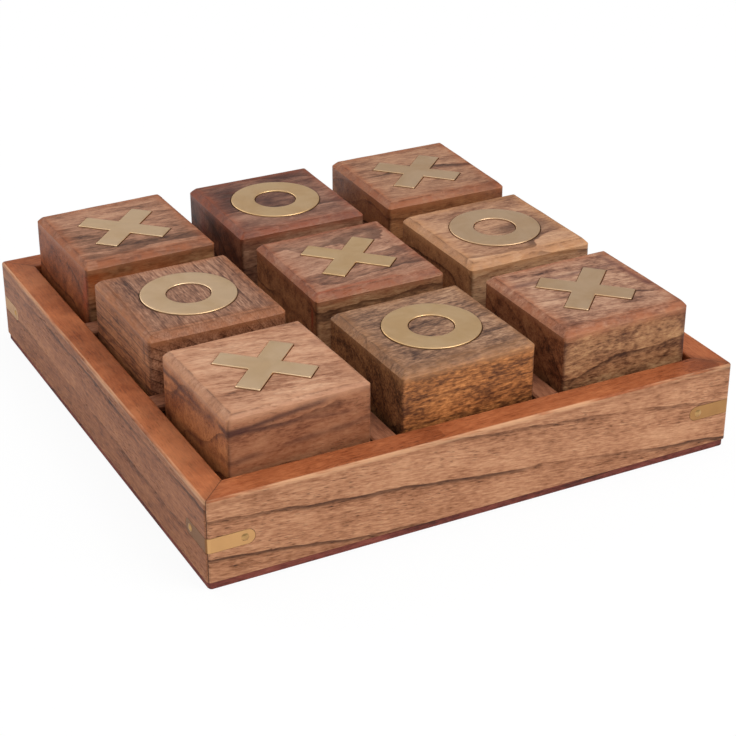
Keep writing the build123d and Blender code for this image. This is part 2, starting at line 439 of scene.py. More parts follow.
@dataclass(frozen=True)
class WoodFinish:
    """An oiled hardwood, worked out in three dimensions so that every face shows its own cut.

    Growth rings lie about a pith, each darkening slowly and ending in a thin dark line. Broad
    zones, long streaks, short dashes and open pores are laid over them along the grain.
    """

    name: str
    tones: WoodTones
    seed: float
    centre: Point = (0.0, 0.0, 0.0)
    grain: GrainWay = GrainWay.ALONG_X
    turn_deg: float = 0.0
    tilt_deg: float = 0.0
    pith: Span = (0.02, -0.09)
    ring_mm: float = 8.0
    wander_mm: float = 5.0
    ripple: float = 0.7
    lines: float = 0.75
    band: float = 0.5
    streak: float = 0.6
    dashes: float = 0.6
    pores: float = 0.4
    mottle: float = 0.35
    cloud: float = 0.45
    rim_share: float = 0.6
    shade_and_oil: FaceShadeAndOil = FaceShadeAndOil()
    seams: tuple[Seam, ...] = ()
    roughness: float = 0.5
    sheen: float = 0.22

    def material(self) -> bpy.types.Material:
        """Return the material."""
        made, board = new_material(self.name)
        local, place = self._grain_places(board)
        late, line, zones = self._rings(board, local, place)
        dashes, streaks = DASHES.value(board, place), STREAKS.value(board, place)
        mottle, clouds = MOTTLE.value(board, place), CLOUDS.value(board, place)
        pores = self._pores(board, place)
        level = (WEIGHT.middle + zones.sway(WEIGHT.zones * self.band)
                 - late * (WEIGHT.late * self.lines)
                 + streaks.sway(WEIGHT.streaks * self.streak)
                 + dashes.sway(WEIGHT.dashes * self.dashes)
                 + mottle.sway(WEIGHT.mottle * self.mottle)
                 + clouds.sway(WEIGHT.clouds * self.cloud))
        tones = (self.tones.vein, self.tones.dark, self.tones.body, self.tones.light)
        stops = tuple(zip(WEIGHT.stops, tones))
        ramp = board.node("ShaderNodeValToRGB", {"stops": stops}, {0: level.held()})
        colour = board.mix((line * self.lines).held(), ramp.outputs[0], self.tones.vein)
        for seam in self.seams:
            colour = board.mix(self._seam(board, seam, place), colour, seam.colour)
        colour = board.mix((pores * self.pores).held(), colour, self.tones.vein)
        colour = self._toned_and_marked(board, colour, streaks)
        rough = (self.roughness + dashes.sway(WEIGHT.dashes_rough) + pores * WEIGHT.pores_rough
                 - board.attribute("edge_near") * WEIGHT.edge_polish)
        height = (dashes.sway(WEIGHT.dashes_relief) + streaks * WEIGHT.streaks_relief
                  - pores * WEIGHT.pores_relief - line * WEIGHT.line_relief)
        board.surface({
            "Base Color": colour, "Roughness": rough.held(), "Specular IOR Level": self.sheen,
            "Normal": board.bump(WEIGHT.bump, WEIGHT.bump_depth, height)})
        return made

    def _grain_places(self, board: ShaderBoard) -> tuple[Link, Link]:
        """Return the place in the board, its grain along X, and that place moved for the noises."""
        turn = [math.radians(angle) for angle in self.grain.value]
        turn[1] += math.radians(self.tilt_deg)
        turn[2] += math.radians(self.turn_deg)
        local = board.vector("SUBTRACT", board.place(), self.centre)
        turned = board.turned(local, tuple(turn))
        shift = tuple(self.seed * share for share in FORM.seed_way)
        return turned, board.vector("ADD", turned, shift)

    def _rings(self, board: ShaderBoard, local: Link, place: Link) -> tuple[Value, Value, Value]:
        """Return the growth rings' slow darkening, their thin end lines, and the broad zones.

        The distance from the pith, pushed about by slow noise that is stretched along the
        grain, is divided by the ring width. What is left after the whole rings is the share of
        the ring: its cube is the darkening, and a peak just before one is the line.
        """
        wander = RING_WANDER.value(board, place) - NOISE_MEAN
        ripple = RING_RIPPLE.value(board, place) - NOISE_MEAN
        _, side, rise = board.parts(local)
        across, deep = side - self.pith[0], rise - self.pith[1]
        distance = (across * across + deep * deep).root()
        swing = self.wander_mm * MM
        pushed = distance + wander * (swing * FORM.wander_swing) + ripple * (swing * self.ripple)
        share = (pushed / (self.ring_mm * MM)).fraction()
        late = share ** FORM.late_power
        faded = LINE_FADE.value(board, place).step(*FORM.line_fade)
        line = share.step(*FORM.line_rise) * share.step(*FORM.line_fall) * faded
        slow = board.node("ShaderNodeCombineXYZ", {}, {
            0: pushed * FORM.zones_to_metre, 1: self.seed, 2: wander * FORM.zone_drift})
        zones = board.noise(slow.outputs[0], 1.0, FORM.zone_detail)
        return late, line, zones

    def _seam(self, board: ShaderBoard, seam: Seam, place: Link) -> Value:
        """Return a seam's mask: it falls off from a wandering plane, and fades along it."""
        local = board.vector("SUBTRACT", board.place(), self.centre)
        through = board.value("ShaderNodeVectorMath", {"operation": "DOT_PRODUCT"},
                              {0: local, 1: seam.across}, "Value")
        wander = SEAM_WANDER.value(board, place).sway(FORM.seam_swing)
        off = (through - seam.offset_mm * MM + wander).size()
        fade = SEAM_FADE.value(board, place).step(*FORM.seam_fade)
        return off.step(seam.width_mm * MM, 0.0) * fade * seam.share

    def _pores(self, board: ShaderBoard, place: Link) -> Value:
        """Return the mask of the open pores: short dark dashes along the grain, in patches."""
        speckle = PORE_SPECKLE.value(board, place).step(*FORM.pore_speckle)
        return speckle * PORE_PATCHES.value(board, place).step(*FORM.pore_patches)

    def _toned_and_marked(self, board: ShaderBoard, colour: Link, streaks: Value) -> Link:
        """Return the colour with the tones of each face, the rim, the edges and the creases. The front and
        left face tones are painted light and shade; the end tone is the oil in end grain.

        The masks are attributes of the cubes' meshes, and are nothing elsewhere.
        """
        # The front and left tints are painted light and shade on those faces; the end tint is the end
        # grain's oil.
        shades_and_oil = {"front_near": self.shade_and_oil.front, "left_near": self.shade_and_oil.left,
                  "end_near": self.shade_and_oil.end}
        for name, shade_and_oil in shades_and_oil.items():
            face_toned = board.mix(1.0, colour, shade_and_oil, "MULTIPLY")
            colour = board.mix(board.attribute(name), colour, face_toned)
        patches = board.noise(board.place(), MARK_SHARE.patch_scale).step(*MARK_SHARE.patches)
        rim = board.attribute("rim_near") * (MARK_SHARE.rim_least + patches * (1 - MARK_SHARE.rim_least))
        colour = board.mix((rim * self.rim_share).held(), colour, self.tones.rim)
        # Paler band at the bevel's lower border, darker line at its upper border, darker streaks at the
        # upright corners and a dark seat round the figure.
        pale = board.mix(MARK_SHARE.pale, self.tones.light, self.tones.rim)
        colour = board.mix((board.attribute("edge_near") * MARK_SHARE.edge).held(), colour, pale)
        crease = board.attribute("crease_near") * patches * MARK_SHARE.crease
        corner = board.attribute("corner_near") * streaks.step(*MARK_SHARE.corner_streaks) * MARK_SHARE.corner
        dark = (crease + corner + board.attribute("seat_near") * MARK_SHARE.seat).held()
        return board.mix(dark, colour, self.tones.vein)


@dataclass(frozen=True)
class RailFinish(WoodFinish):
    """The rails' wood: tan outside, and stained orange-red on the top and the inside.

    The distances are spans of smooth steps: below the rim, in from the outer face, or off the
    mitre's joint. The streaks and clouds are steps over noises that break up an edge.
    """

    top: Colour = (0.3, 0.1, 0.03)
    arris: Colour = (0.6, 0.4, 0.25)
    outside: float = 0.1
    rim_height: float = 0.033
    stain: Colour = (0.86, 0.52, 0.33)
    stain_share: float = 0.92
    stain_down: Span = (0.9 * MM, 0.35 * MM)
    stain_in: Span = (0.7 * MM, 1.3 * MM)
    cloud_scale: float = 45.0
    cloud_step: Span = (0.3, 0.7)
    cloud_share: float = 0.5
    cloud_least: float = 0.1
    arris_share: float = 0.8
    arris_down: Span = (1.9 * MM, 0.7 * MM)
    arris_in: Span = (1.0 * MM, 0.4 * MM)
    arris_streaks: Span = (0.36, 0.6)
    crease_share: float = 0.35
    crease_rise: Span = (3.4 * MM, 2.2 * MM)
    crease_fall: Span = (0.9 * MM, 1.9 * MM)
    crease_in: Span = (1.0 * MM, 0.3 * MM)
    crease_streaks: Span = (0.62, 0.48)
    soaked_share: float = 0.4
    soaked_off: Span = (5.0 * MM, 0.5 * MM)
    glue_share: float = 0.75
    glue_off: Span = (0.32 * MM, 0.12 * MM)

    def _toned_and_marked(self, board: ShaderBoard, colour: Link, streaks: Value) -> Link:
        """Return the colour with the stain, the pale outer arris and the mitres' glue lines.

        The place is read from the tray's middle: the larger of its two level distances tells
        the outer face from the inner one, and its height the top. Where both are alike, two
        rails meet in a mitre.
        """
        place = board.place()
        x, y, height = board.parts(place)
        reach_x, reach_y = x.size(), y.size()
        out = reach_x.larger(reach_y)
        on_top = height.step_below(self.rim_height, self.stain_down)
        stained = on_top.larger(out.step_below(self.outside, self.stain_in))
        tone = board.mix(1.0, colour, self.stain, "MULTIPLY")
        cloud = board.noise(place, self.cloud_scale).step(*self.cloud_step)
        tone = board.mix(cloud * self.cloud_share + self.cloud_least, tone, self.top)
        colour = board.mix(stained * self.stain_share, colour, tone)
        near_edge = (out.step_below(self.outside, self.arris_in)
                     * height.step_below(self.rim_height, self.arris_down))
        pale = near_edge * streaks.step(*self.arris_streaks) * self.arris_share
        colour = board.mix(pale, colour, self.arris)
        near_crease = (height.step_below(self.rim_height, self.crease_rise)
                       * height.step_below(self.rim_height, self.crease_fall)
                       * out.step_below(self.outside, self.crease_in))
        dark = near_crease * streaks.step(*self.crease_streaks) * self.crease_share
        colour = board.mix(dark, colour, self.tones.dark)
        joint = (reach_x - reach_y).size()
        soaked = joint.step(*self.soaked_off) * cloud * self.soaked_share
        glue = joint.step(*self.glue_off) * self.glue_share
        return board.mix(glue.larger(soaked * on_top), colour, self.tones.vein)


@dataclass(frozen=True)
class BrassFinish:
    """Sheet brass, finely brushed one way, with a thin uneven tarnish. Left of a given X the sheet takes
    the tarnish colour in full, as painted shade on a strap's leg that lies on the tray's left face.

    The last fields are the noises' scales and steps, and how far the brushing, the scuffs and
    the tarnish move the roughness and the relief.
    """

    name: str
    bright: Colour
    tarnish: Colour
    brush_deg: float = 20.0
    roughness: float = 0.34
    tarnish_share: float = 0.45
    shaded_left_of: Optional[float] = None
    shade_span: float = 0.3 * MM
    scuff_scale: Point = (300.0, 900.0, 900.0)
    scuff_shift: Point = (1.0, 2.0, 3.0)
    cloud_scale: float = 70.0
    cloud_rough: float = 0.55
    cloud_distort: float = 0.4
    cloud_step: Span = (0.38, 0.68)
    edge_step: Span = (0.4, 1.0)
    edge_share: float = 0.25
    brushed_rough: float = 0.2
    scuffs_rough: float = 0.12
    tarnish_rough: float = 0.08
    brushed_relief: float = 0.7
    scuffs_relief: float = 0.5
    bump: float = 0.16
    bump_depth: float = 0.1 * MM

    def material(self) -> bpy.types.Material:
        """Return the material: stretched noise is the brushing, slow noise the tarnish, and a step in X the
        painted shade on a strap's left leg.
        """
        made, board = new_material(self.name)
        place = board.place()
        turned = board.turned(place, (0.0, 0.0, math.radians(self.brush_deg)))
        brushed = BRUSHING.value(board, turned)
        scuffs = board.noise(board.scaled(turned, self.scuff_scale, self.scuff_shift), 1.0)
        clouds = board.noise(place, self.cloud_scale, rough=self.cloud_rough, distort=self.cloud_distort)
        edge = board.attribute("edge_near").step(*self.edge_step)
        mask = (clouds.step(*self.cloud_step) * self.tarnish_share + edge * self.edge_share).held()
        # Painted shade: left of this X the brass takes its tarnish colour, darkening the strap's leg on the
        # left face.
        if self.shaded_left_of is not None:
            x = board.parts(place)[0]
            mask = mask.larger(x.step(self.shaded_left_of, self.shaded_left_of - self.shade_span))
        rough = (self.roughness + brushed.sway(self.brushed_rough) + scuffs.sway(self.scuffs_rough)
                 + mask * self.tarnish_rough)
        height = brushed * self.brushed_relief + scuffs * self.scuffs_relief
        board.surface({
            "Base Color": board.mix(mask, self.bright, self.tarnish), "Metallic": 1.0,
            "Roughness": rough.held(), "Normal": board.bump(self.bump, self.bump_depth, height)})
        return made


@dataclass(frozen=True)
class SteelFinish:
    """The dull steel of small panel pins."""

    name: str
    bright: Colour
    dull: Colour
    cloud_scale: float = 600.0
    cloud_step: Span = (0.35, 0.7)
    roughness: float = 0.35
    cloud_rough: float = 0.2

    def material(self) -> bpy.types.Material:
        """Return the material: slow noise mixes bright and dull steel."""
        made, board = new_material(self.name)
        clouds = board.noise(board.place(), self.cloud_scale)
        board.surface({
            "Base Color": board.mix(clouds.step(*self.cloud_step), self.bright, self.dull),
            "Metallic": 1.0, "Roughness": (self.roughness + clouds * self.cloud_rough).held()})
        return made


def dress(piece: bpy.types.Object, material: bpy.types.Material) -> None:
    """Give a piece, or a carried-over node, one material in all its slots."""
    if not piece.material_slots:
        piece.data.materials.append(material)
    for place in piece.material_slots:
        place.material = material


def middle_of(node: str) -> Point:
    """Return the middle of a node's box."""
    low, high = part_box(node)
    return tuple((low + high) / 2)


def reach(inside: Callable[[np.ndarray, np.ndarray], np.ndarray], angles: np.ndarray,
          farthest: float = 0.4, halvings: int = 40) -> np.ndarray:
    """Find how far an outline lies from its centre, by halving.

    Args:
        inside: a signed distance of points from the outline, negative inside.
        angles: the directions, in radians.
        farthest: a distance that surely lies outside.
        halvings: how often the search halves it.

    Returns:
        The distance from the centre to the outline in each direction.
    """
    low, high = np.zeros_like(angles), np.full_like(angles, farthest)
    for _ in range(halvings):
        middle = (low + high) / 2
        within = inside(middle * np.cos(angles), middle * np.sin(angles)) < 0
        low, high = np.where(within, middle, low), np.where(within, high, middle)
    return (low + high) / 2


def box_distance(x: np.ndarray, y: np.ndarray, half_x: float, half_y: float,
                 radius: float) -> np.ndarray:
    """Return the signed distance of points from a rectangle with rounded corners.

    Beyond the core rectangle it is the length of the overshoot less the radius, and within it
    the larger of the two overshoots less the radius.
    """
    over_x = np.abs(x) - half_x + radius
    over_y = np.abs(y) - half_y + radius
    outside = np.hypot(np.maximum(over_x, 0), np.maximum(over_y, 0))
    return outside + np.minimum(np.maximum(over_x, over_y), 0) - radius


def mesh_piece(name: str, points: np.ndarray, quads: np.ndarray, fans: Sequence[np.ndarray] = (),
               soft_deg: float = 40.0) -> bpy.types.Object:
    """Make an object from whole arrays of points and faces.

    Args:
        name: the piece's name.
        points: one row for each point, in metres.
        quads: one row of four point numbers for each face.
        fans: rows of three point numbers for the faces that close poles and ends.
        soft_deg: edges that turn less than this are shaded smooth.

    Returns:
        The new object, standing at the origin.
    """
    faces = quads.tolist()
    for fan in fans:
        faces += fan.tolist()
    mesh = bpy.data.meshes.new(name)
    mesh.from_pydata(points.tolist(), [], faces)
    mesh.validate()
    mesh.polygons.foreach_set("use_smooth", np.ones(len(mesh.polygons), bool))
    mesh.set_sharp_from_angle(angle=math.radians(soft_deg))
    made = bpy.data.objects.new(name, mesh)
    bpy.context.scene.collection.objects.link(made)
    return made


def loft(name: str, rings: np.ndarray, start: Optional[np.ndarray] = None,
         end: Optional[np.ndarray] = None, soft_deg: float = 40.0) -> bpy.types.Object:
    """Make a closed surface from rings of points, each joined to the next.

    Args:
        name: the piece's name.
        rings: an array of rings by points by three coordinates. Each ring runs counter-clockwise
            as seen from above, and the rings go from the underside outwards, up and in again.
        start: a pole that closes the first ring.
        end: a pole that closes the last ring. Without poles the last ring joins the first.
        soft_deg: edges that turn less than this are shaded smooth.

    Returns:
        The new object.
    """
    count, around = rings.shape[:2]
    index = np.arange(count * around).reshape(count, around)
    ahead = np.roll(index, -1, axis=1)
    if start is None:
        above, above_ahead = np.roll(index, -1, axis=0), np.roll(ahead, -1, axis=0)
        quads = np.stack([index, ahead, above_ahead, above], axis=-1).reshape(-1, 4)
        return mesh_piece(name, rings.reshape(-1, 3), quads, soft_deg=soft_deg)
    quads = np.stack([index[:-1], ahead[:-1], ahead[1:], index[1:]], axis=-1).reshape(-1, 4)
    points = np.vstack([rings.reshape(-1, 3), start, end])
    low, high = count * around, count * around + 1
    under = np.stack([ahead[0], index[0], np.full(around, low)], axis=-1)
    over = np.stack([index[-1], ahead[-1], np.full(around, high)], axis=-1)
    return mesh_piece(name, points, quads, [under, over], soft_deg)


def set_attribute(piece: bpy.types.Object, name: str, values: np.ndarray) -> None:
    """Write one number for each point of a piece, for its material to read."""
    made = piece.data.attributes.new(name, "FLOAT", "POINT")
    made.data.foreach_set("value", values.astype(np.float32))


def points_of(piece: bpy.types.Object) -> np.ndarray:
    """Return a mesh's points as an array of rows."""
    points = np.zeros(len(piece.data.vertices) * 3, np.float32)
    piece.data.vertices.foreach_get("co", points)
    return points.reshape(-1, 3).astype(float)


def set_points(piece: bpy.types.Object, points: np.ndarray) -> None:
    """Move a mesh's points to the rows of an array."""
    piece.data.vertices.foreach_set("co", points.astype(np.float32).ravel())
    piece.data.update()


def fall(distance: np.ndarray, far: float) -> np.ndarray:
    """Return one at no distance, about a third at the reach and less and less beyond it."""
    return np.exp(-np.maximum(distance, 0) / far)


def hand_waves(points: np.ndarray, seed: int, size_mm: float, wave_mm: float, count: int = 5,
               spread: Span = (0.7, 1.6)) -> np.ndarray:
    """Return a slow uneven push for each point, as a hand-sanded face has.

    It is the mean of several sines of the place, each along a random way of its own.

    Args:
        points: the points, in metres.
        seed: makes each piece's waves its own.
        size_mm: the largest push.
        wave_mm: the length of the waves.
        count: how many sines there are.
        spread: the least and the largest share of that length.

    Returns:
        One push in metres for each point.
    """
    draw = np.random.default_rng(seed)
    ways = draw.normal(size=(count, 3))
    ways /= np.linalg.norm(ways, axis=1, keepdims=True)
    lengths = wave_mm * MM * draw.uniform(*spread, count)
    phases = draw.uniform(0, 2 * math.pi, count)
    turns = points @ (ways / lengths[:, None] * 2 * math.pi).T + phases
    return np.sin(turns).mean(axis=1) * size_mm * MM


@dataclass
class FigureShape:
    """The outline of a brass figure and of the pocket that it is let into."""

    figure: Figure
    cross_reach: float = 34.0 * MM
    cross_arm: float = 8.4 * MM
    ring_outer: float = 34.2 * MM
    ring_inner: float = 16.0 * MM
    quarter_steps: int = 37

    def angles(self, extra: Sequence[float] = ()) -> np.ndarray:
        """Return the directions of the points round a ring: even ones and each outline's corners.

        Args:
            extra: more directions, in radians, between 0 and a quarter turn.

        Returns:
            The directions in rising order, over a full turn.
        """
        quarter = list(np.linspace(0, math.pi / 2, self.quarter_steps)[:-1]) + list(extra)
        tip = math.atan2(self.cross_arm, self.cross_reach)
        quarter += [math.pi / 4 - tip, math.pi / 4 + tip]
        one = np.unique(np.round(quarter, 6))
        return np.concatenate([one + turn * math.pi / 2 for turn in range(4)])

    def outline(self, angles: np.ndarray, grow: float) -> np.ndarray:
        """Return the outer outline's distance from the centre, grown by a margin.

        The cross is the nearer of two bars on the diagonals, and the ring a circle.
        """
        if self.figure is Figure.RING:
            return np.full_like(angles, self.ring_outer / 2 + grow)
        half_long, half_wide = self.cross_reach / 2 + grow, self.cross_arm / 2 + grow

        def bars(x: np.ndarray, y: np.ndarray) -> np.ndarray:
            """Return the signed distance from the two bars together."""
            along, across = (x + y) / math.sqrt(2), (y - x) / math.sqrt(2)
            first = box_distance(along, across, half_long, half_wide, 0.0)
            second = box_distance(along, across, half_wide, half_long, 0.0)
            return np.minimum(first, second)

        return reach(bars, angles)


def ease(radius: float, steps: int, power: float) -> tuple[np.ndarray, np.ndarray]:
    """Return an eased edge as insets and drops, from the wall to the flat.

    The two follow a superellipse: inset and drop, as shares of the radius taken from one, each
    raised to the power, add up to one. A power of 1 is a flat chamfer and 2 a quarter round.
    """
    turn = np.linspace(0, math.pi / 2, steps)
    inset = radius * (1 - np.cos(turn) ** (2 / power))
    drop = radius * (1 - np.sin(turn) ** (2 / power))
    return inset, drop


@dataclass
class RingStack:
    """The rings of a lofted piece: a distance from its middle for every direction, and a height."""

    angles: np.ndarray
    distances: list[np.ndarray] = field(default_factory=list)
    heights: list[np.ndarray] = field(default_factory=list)

    def add(self, distance: np.ndarray, height: Union[float, np.ndarray]) -> None:
        """Add one ring."""
        self.distances.append(distance)
        self.heights.append(np.zeros_like(self.angles) + height)

    def piece(self, name: str, poles: Optional[Span], soft_deg: float) -> bpy.types.Object:
        """Return the piece that the rings make.

        Args:
            name: the piece's name.
            poles: the heights over the middle that close the first and the last ring. Without
                them the last ring joins the first.
            soft_deg: edges that turn less than this are shaded smooth.

        Returns:
            The new object.
        """
        distance, height = np.array(self.distances), np.array(self.heights)
        rings = np.stack([distance * np.cos(self.angles), distance * np.sin(self.angles), height], axis=-1)
        if poles is None:
            return loft(name, rings, soft_deg=soft_deg)
        start, end = (np.array([0.0, 0.0, pole]) for pole in poles)
        return loft(name, rings, start, end, soft_deg)


@dataclass(frozen=True)
class CubePlan:
    """One cube: its figure, its turn as in the frame, its bevels as shares, and its wood.

    The bevels are those of the right, back, left and front side.
    """

    figure: Figure
    turn_deg: float
    bevels: tuple[float, float, float, float]
    wood: WoodFinish


@dataclass(frozen=True)
class MarkReach:
    """How far each mark on the cubes' wood reaches from its edge, in metres."""

    edge: float = 0.55 * MM
    crease: float = 0.4 * MM
    corner: float = 0.45 * MM
    corner_start: float = 0.3 * MM
    rim: float = 2.1 * MM
    rim_down: float = 1.6 * MM
    # The face marks' reach; the front and left tints they carry are painted light and shade.
    face: float = 0.8 * MM
    seat: float = 0.3 * MM
    seat_depth: float = 0.5 * MM


@dataclass
class GameCube:
    """One loose wooden cube with its brass figure.

    The shares are where the extra rings lie, on the way from the middle or from the square
    outline to the figure. The waves are given in millimetres: their largest push and length.
    """

    place: str
    plan: CubePlan
    brass: bpy.types.Material
    seed: int
    fullness: float = 0.25 * MM
    chamfer: float = 1.8 * MM
    chamfer_power: float = 1.07
    chamfer_steps: int = 7
    corner_round: float = 1.2 * MM
    corner_tighten: float = 0.4
    corner_least: float = 0.5 * MM
    corner_blend: int = 24
    corner_fan_deg: float = 2.4
    corner_fan_steps: int = 13
    wall_steps: int = 22
    face_shares: tuple[float, ...] = (0.3, 0.6, 0.85)
    top_shares: tuple[float, ...] = (0.03, 0.08, *np.linspace(0.15, 1, 12))
    pocket_gap: float = 0.25 * MM
    pocket_lip: float = 0.15 * MM
    pocket_depth: float = 2.1 * MM
    floor_share: float = 0.5
    soft_deg: float = 28.0
    wave: float = 0.16
    wave_length: float = 34.0
    wave_edge: float = 3.0 * MM
    top_wear: float = 0.4
    side_wear: float = 1.1
    marks: MarkReach = MarkReach()
    figure_ease: float = 0.28 * MM
    figure_steps: int = 5
    figure_shares: tuple[float, ...] = (0.9, 0.75, 0.5, 0.25)
    ring_steps: int = 6
    figure_soft_deg: float = 50.0
    figure_edge: float = 0.5 * MM
    dish: float = 0.05
    dish_length: float = 22.0
    dish_seed: int = 40
    dish_above: float = 0.8
    low: Vector = field(init=False)
    high: Vector = field(init=False)
    shape: FigureShape = field(init=False)

    def __post_init__(self) -> None:
        """Read the cube's place from the frame."""
        self.low, self.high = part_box("block_" + self.place)
        self.shape = FigureShape(self.plan.figure)

    @property
    def figure_node(self) -> str:
        """Return the name of the figure's node."""
        return self.plan.figure.value + "_" + self.place

    @property
    def half(self) -> float:
        """Return half the cube's side: the turned box divided by its growth, and the fullness."""
        turn = math.radians(abs(self.plan.turn_deg))
        return (self.high.x - self.low.x) / 2 / (math.cos(turn) + math.sin(turn)) + self.fullness

    @property
    def height(self) -> float:
        """Return the cube's height."""
        return self.high.z - self.low.z

    def build(self) -> None:
        """Build and dress the cube and its figure, in place of their nodes."""
        body = "cube_" + self.place
        cube = self._wooden_cube()
        self._set_down(cube, self.low.z)
        dress(cube, self._wood().material())
        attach(cube, body)
        "block_wood_" + self.place
        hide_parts("block_" + self.place)
        figure = self._brass_figure()
        self._set_down(figure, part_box(self.figure_node)[0].z)
        dress(figure, self.brass)
        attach(figure, body)
        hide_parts(self.figure_node)
        log.info("cube %s: %d and %d faces", self.place, len(cube.data.polygons), len(figure.data.polygons))

    def _wood(self) -> WoodFinish:
        """Return the cube's wood, its grain laid about the cube's middle."""
        return replace(self.plan.wood, centre=middle_of("block_" + self.place))

    def _set_down(self, piece: bpy.types.Object, height: float) -> None:
        """Turn a piece's points as the cube lies and move them to its place."""
        points = points_of(piece)
        turn = math.radians(self.plan.turn_deg)
        centre = (self.low + self.high) / 2
        x = points[:, 0] * math.cos(turn) - points[:, 1] * math.sin(turn) + centre.x
        y = points[:, 0] * math.sin(turn) + points[:, 1] * math.cos(turn) + centre.y
        set_points(piece, np.stack([x, y, points[:, 2] + height], axis=1))

    def _square(self, angles: np.ndarray, share: float) -> np.ndarray:
        """Return the distance to the cube's rounded square outline, drawn in by its bevels.

        Args:
            angles: the directions.
            share: how much of each side's bevel the outline is drawn in by.

        Returns:
            The distance in each direction.
        """
        right, back, left, front = (self.chamfer * side * share for side in self.plan.bevels)
        half_x, half_y = self.half - (right + left) / 2, self.half - (back + front) / 2
        middle_x, middle_y = (left - right) / 2, (front - back) / 2
        radius = max(self.corner_round - self.corner_tighten * self.chamfer * share, self.corner_least)

        def outline(x: np.ndarray, y: np.ndarray) -> np.ndarray:
            """Return the signed distance from the outline."""
            return box_distance(x - middle_x, y - middle_y, half_x, half_y, radius)

        return reach(outline, angles)

    def _bevel(self, angles: np.ndarray) -> np.ndarray:
        """Return the bevel's size in each direction: each side's own, blended at the corners."""
        right, back, left, front = (self.chamfer * side for side in self.plan.bevels)
        flat = np.abs(np.cos(angles)) ** self.corner_blend
        steep = np.abs(np.sin(angles)) ** self.corner_blend
        side_x = np.where(np.cos(angles) > 0, right, left)
        side_y = np.where(np.sin(angles) > 0, back, front)
        return (side_x * flat + side_y * steep) / (flat + steep)

    def _wooden_cube(self) -> bpy.types.Object:
        """Return the cube: outlines carried from the underside round to the pocket and its floor.

        Each ring is a distance from the middle for every direction, and a height. The rings run
        over the bottom face, the lower bevel, the walls, the upper bevel, the top face, which
        blends from the square to the figure's outline, and down into the pocket. A ring's
        pocket comes up again round the wooden island in its middle.
        """
        fan = np.linspace(-1, 1, self.corner_fan_steps)
        near = [math.pi / 4 + share * math.radians(self.corner_fan_deg) for share in fan]
        angles = self.shape.angles(near)
        inset, drop = ease(1.0, self.chamfer_steps, self.chamfer_power)
        bevel = self._bevel(angles)
        stack = RingStack(angles)
        square = self._square(angles, 1.0)
        for share in self.face_shares:
            stack.add(square * share, 0.0)
        for step in range(len(inset) - 1, -1, -1):
            stack.add(self._square(angles, inset[step]), bevel * drop[step])
        for share in np.linspace(0, 1, self.wall_steps)[1:-1]:
            stack.add(self._square(angles, 0.0), bevel + share * (self.height - 2 * bevel))
        for step in range(len(inset)):
            stack.add(self._square(angles, inset[step]), self.height - bevel * drop[step])
        figure = self.shape.outline(angles, self.pocket_gap + self.pocket_lip)
        for share in self.top_shares:
            stack.add(square * (1 - share) + figure * share, self.height)
        wall = self.shape.outline(angles, self.pocket_gap)
        lip, floor = self.height - self.pocket_lip, self.height - self.pocket_depth
        stack.add(wall, lip)
        stack.add(wall, floor)
        if self.plan.figure is Figure.CROSS:
            stack.add(wall * self.floor_share, floor)
            end_height = floor
        else:
            island = np.full_like(angles, self.shape.ring_inner / 2 - self.pocket_gap)
            stack.add(island, floor)
            stack.add(island, lip)
            stack.add(island - self.pocket_lip, self.height)
            for share in reversed(self.face_shares):
                stack.add(island * share, self.height)
            end_height = self.height
        made = stack.piece("wood_cube_" + self.place, (0.0, end_height), self.soft_deg)
        self._mark(made)
        self._wear(made)
        return made

    def _mark(self, piece: bpy.types.Object) -> None:
        """Mark each point with how near it is to the edges, creases and faces, for the wood.

        Each mark falls off with the point's distance: from the bevel's lower border for the paler edge
        band, from its upper border for the dark crease line, from the top face's border for the rim, and
        from the outline of the figure for its seat.
        """
        x, y, z = points_of(piece).T
        right, back, left, front = self.half - x, self.half - y, self.half + x, self.half + y
        depths = np.stack([right, back, left, front])
        depth = np.maximum(depths.min(axis=0), 0)
        bevel = self.chamfer * np.array(self.plan.bevels)[depths.argmin(axis=0)]
        under = self.height - z
        level = np.minimum(under, z)
        side_x, side_y = np.minimum(right, left), np.minimum(back, front)
        second = np.maximum(side_x, side_y)
        ends = side_x if self.plan.wood.grain is GrainWay.ALONG_X else side_y
        away = np.hypot(x, y)
        gap = np.abs(away - self.shape.outline(np.arctan2(y, x), 0.0))
        if self.plan.figure is Figure.RING:
            gap = np.minimum(gap, np.abs(away - self.shape.ring_inner / 2))
        far = self.marks
        marks = {
            "edge_near": fall(np.hypot(level - bevel, depth), far.edge),
            "corner_near": fall(second - far.corner_start, far.corner) * (level > bevel),
            "crease_near": fall(np.hypot(level, depth - bevel), far.crease),
            "rim_near": fall(depth - bevel, far.rim) * fall(under - bevel, far.rim_down),
            # The front and left face marks carry painted light and shade; the end mark carries the end
            # grain's oil.
            "front_near": np.clip(1 - front / far.face, 0, 1),
            "left_near": np.clip(1 - left / far.face, 0, 1),
            "end_near": np.clip(1 - ends / far.face, 0, 1),
            "seat_near": np.where(under < far.seat_depth, fall(gap, far.seat), 0.0)}
        for name, values in marks.items():
            set_attribute(piece, name, values)

    def _wear(self, piece: bpy.types.Object) -> None:
        """Push the faces inwards by slow waves, as hand sanding leaves them.

        The waves only ever take wood away, from a cube that is a little fuller than its solid.
        """
        points = points_of(piece)
        x, y, z = points.T
        push = np.abs(hand_waves(points, self.seed, self.wave, self.wave_length))
        side_x = np.maximum(1 - (self.half - np.abs(x)) / self.wave_edge, 0)
        side_y = np.maximum(1 - (self.half - np.abs(y)) / self.wave_edge, 0)
        x -= np.sign(x) * push * side_x
        y -= np.sign(y) * push * side_y
        share = self.top_wear + self.side_wear * np.maximum(side_x, side_y)
        z -= push * np.clip(z / self.height, 0, 1) ** 2 * share
        set_points(piece, np.stack([x, y, z], axis=1))

